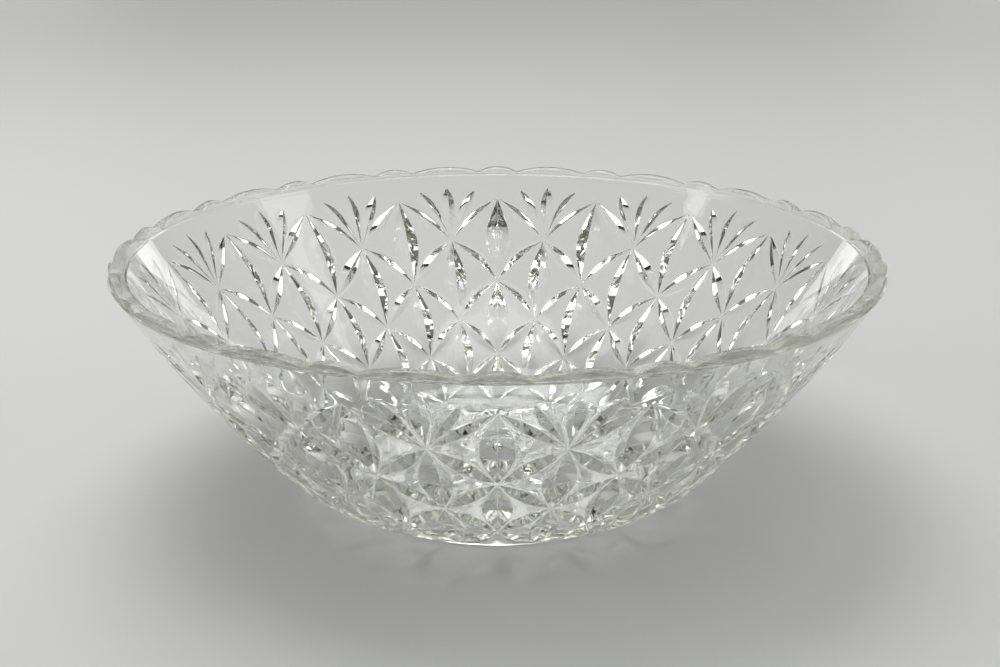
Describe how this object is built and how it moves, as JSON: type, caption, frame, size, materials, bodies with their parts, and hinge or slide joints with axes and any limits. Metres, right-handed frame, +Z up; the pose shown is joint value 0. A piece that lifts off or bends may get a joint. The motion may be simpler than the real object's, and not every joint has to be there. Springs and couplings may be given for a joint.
{
  "type": "punch bowl",
  "caption": "Pressed clear glass punch bowl with flared wall, scalloped lip, leaf-cut outside, smooth inside and a flat foot ring, for serving drinks",
  "frame": {"origin": "centre of the foot ring, on the plane the bowl rests on", "axes": "+Z up along the bowl's axis of symmetry; a narrow scallop of the lip faces -Y"},
  "size_m": [0.3384, 0.3384, 0.1119],
  "materials": {
    "clear_glass": "fire-polished clear soda-lime glass with a faint grey-green tint in thick places"
  },
  "bodies": {
    "root": {"bowl": "clear_glass"}
  },
  "joints": []
}
